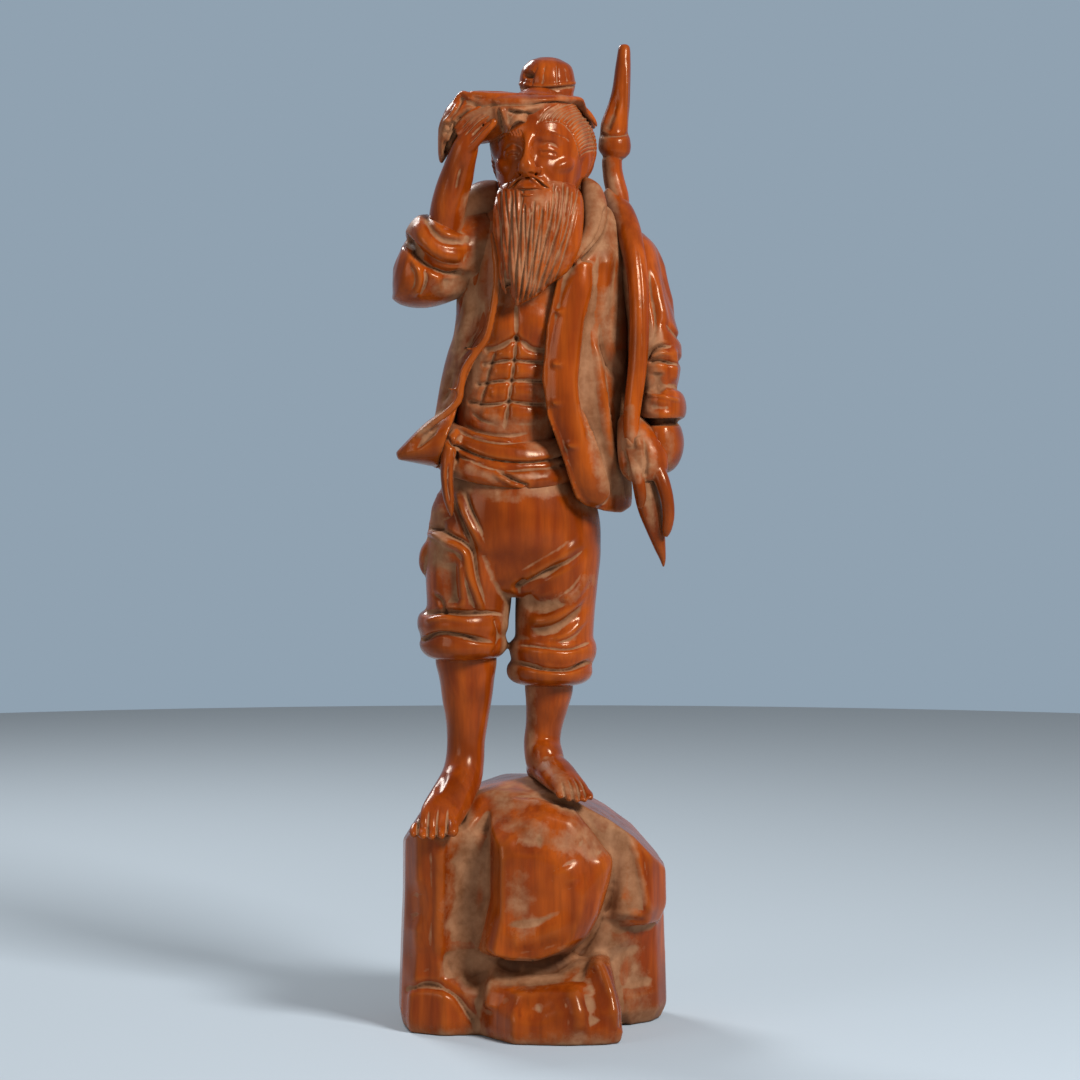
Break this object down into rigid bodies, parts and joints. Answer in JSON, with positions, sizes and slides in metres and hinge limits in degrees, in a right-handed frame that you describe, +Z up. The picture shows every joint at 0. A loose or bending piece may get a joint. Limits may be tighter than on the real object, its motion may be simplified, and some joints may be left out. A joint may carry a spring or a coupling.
{
  "type": "carved standing figure",
  "caption": "Carved boxwood okimono of an old bearded farmer standing barefoot on a rock, wiping his brow, with a hoe over one shoulder.",
  "frame": {"origin": "on the floor under the middle of the rock's flat underside", "axes": "+X to the viewer's right, which is the farmer's left; -Y towards the viewer, where the farmer faces; +Z up"},
  "size_m": [0.0724, 0.0588, 0.2455],
  "materials": {
    "boxwood": "polished boxwood, stained red-brown, with grey-brown dust left in its hollows",
    "bamboo": "plain, hidden inside the joints"
  },
  "bodies": {
    "root": {"rock_base": "boxwood", "right_leg": "boxwood", "left_leg": "boxwood", "trousers": "boxwood", "waist_sash": "boxwood", "torso": "boxwood", "jacket": "boxwood", "right_sleeve": "boxwood", "left_sleeve": "boxwood", "right_forearm": "boxwood", "left_hand": "boxwood", "head": "boxwood", "topknot": "boxwood", "headcloth": "boxwood", "beard": "boxwood", "hoe_handle": "boxwood", "hoe_blade": "boxwood", "foot_pegs": "bamboo", "waist_peg": "bamboo", "neck_peg": "bamboo", "arm_pegs": "bamboo"}
  },
  "joints": []
}
